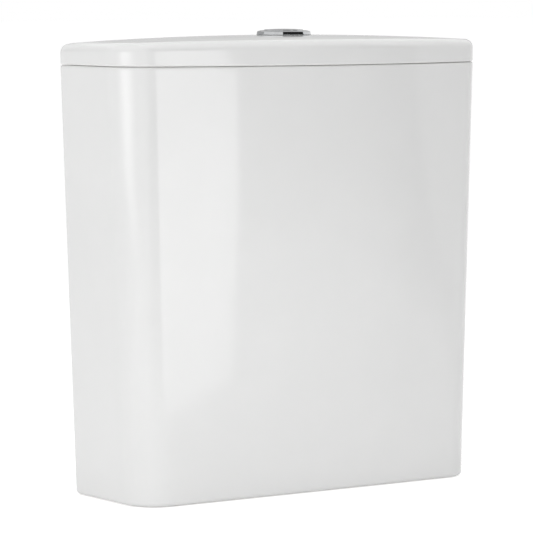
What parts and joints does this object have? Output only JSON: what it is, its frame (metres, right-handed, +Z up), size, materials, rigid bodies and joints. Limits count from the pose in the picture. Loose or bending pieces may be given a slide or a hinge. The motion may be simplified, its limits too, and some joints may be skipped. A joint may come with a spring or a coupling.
{
  "type": "toilet cistern",
  "caption": "Close-coupled ceramic toilet cistern with a bowed front, a lift-off domed lid, a dual-flush button, a push-rod flush valve and a bottom-inlet fill valve.",
  "frame": {"origin": "under the middle of the overall box, on the plane of the foot", "axes": "+Z up, -Y towards the bowed front, +Y towards the wall, +X towards the viewer's right when facing the front"},
  "size_m": [0.365, 0.14, 0.3861],
  "materials": {
    "ceramic": "white gloss glaze",
    "chrome": "bright chrome plate",
    "steel": "drawn stainless wire",
    "white_plastic": "moulded white plastic",
    "blue_plastic": "moulded blue plastic",
    "rubber": "moulded black rubber"
  },
  "bodies": {
    "tank": {"cistern_tank": "ceramic", "flush_valve_base": "white_plastic", "valve_base_washer": "rubber", "valve_back_nut": "white_plastic", "coupling_seal": "rubber", "valve_basket": "white_plastic", "bridge_frame": "white_plastic", "lever_pin": "steel", "fill_valve_body": "white_plastic", "inlet_washer": "rubber", "inlet_back_nut": "white_plastic", "inlet_strainer": "blue_plastic", "fill_valve_head": "white_plastic", "fill_valve_diaphragm": "rubber", "fill_valve_cap": "blue_plastic", "float_lever_pin": "steel"},
    "lid": {"cistern_lid": "ceramic", "button_bezel": "chrome", "bezel_gasket": "rubber", "bezel_nut": "white_plastic", "full_button_spring": "steel", "half_button_spring": "steel"},
    "full_button": {"full_flush_button": "chrome", "full_flush_rod": "white_plastic"},
    "half_button": {"half_flush_button": "chrome", "half_flush_rod": "white_plastic"},
    "full_lever": {"full_flush_lever": "blue_plastic"},
    "half_lever": {"half_flush_lever": "blue_plastic"},
    "flush_piston": {"overflow_tube": "white_plastic", "seal_carrier": "white_plastic", "flush_seal": "rubber", "seal_retainer": "white_plastic", "flush_float": "blue_plastic"},
    "half_float": {"half_flush_float": "blue_plastic", "half_flush_lift_rod": "white_plastic"},
    "inlet_float": {"fill_float": "white_plastic", "float_link_rod": "steel", "float_clip": "blue_plastic"},
    "inlet_lever": {"float_lever": "white_plastic"}
  },
  "joints": [
    {"name": "lid_lift", "type": "slide", "parent": "tank", "child": "lid", "axis": [0, 0, 1], "range_m": [0, 0.15]},
    {"name": "full_button_press", "type": "slide", "parent": "lid", "child": "full_button", "axis": [0, 0, -1], "range_m": [0, 0.008], "stiffness_N_per_m": 300, "springref_m": -0.004, "deforming": ["full_button_spring"]},
    {"name": "half_button_press", "type": "slide", "parent": "lid", "child": "half_button", "axis": [0, 0, -1], "range_m": [0, 0.008], "stiffness_N_per_m": 300, "springref_m": -0.004, "deforming": ["half_button_spring"]},
    {"name": "full_lever_turn", "type": "hinge", "parent": "tank", "child": "full_lever", "pos_m": [0.0085, 0.0145, 0.312], "axis": [1, 0, 0], "range_deg": [0, 38.2]},
    {"name": "half_lever_turn", "type": "hinge", "parent": "tank", "child": "half_lever", "pos_m": [-0.0085, 0.0145, 0.312], "axis": [1, 0, 0], "range_deg": [0, 38.2]},
    {"name": "flush_piston_lift", "type": "slide", "parent": "tank", "child": "flush_piston", "axis": [0, 0, 1], "range_m": [0, 0.00934]},
    {"name": "half_float_lift", "type": "slide", "parent": "tank", "child": "half_float", "axis": [0, 0, 1], "range_m": [0, 0.00934]},
    {"name": "inlet_float_rise", "type": "slide", "parent": "tank", "child": "inlet_float", "axis": [0, 0, 1], "range_m": [0, 0.016]},
    {"name": "inlet_lever_turn", "type": "hinge", "parent": "tank", "child": "inlet_lever", "pos_m": [-0.106, 0.015, 0.286], "axis": [0, -1, 0], "range_deg": [0, 41.7]}
  ],
  "couplings": [
    {"joint": "full_lever_turn", "follows": "full_button_press", "rad_per_m": 83.333},
    {"joint": "flush_piston_lift", "follows": "full_button_press", "ratio": 1.1667},
    {"joint": "half_lever_turn", "follows": "half_button_press", "rad_per_m": 83.333},
    {"joint": "half_float_lift", "follows": "half_button_press", "ratio": 1.1667},
    {"joint": "inlet_lever_turn", "follows": "inlet_float_rise", "rad_per_m": 45.455}
  ]
}
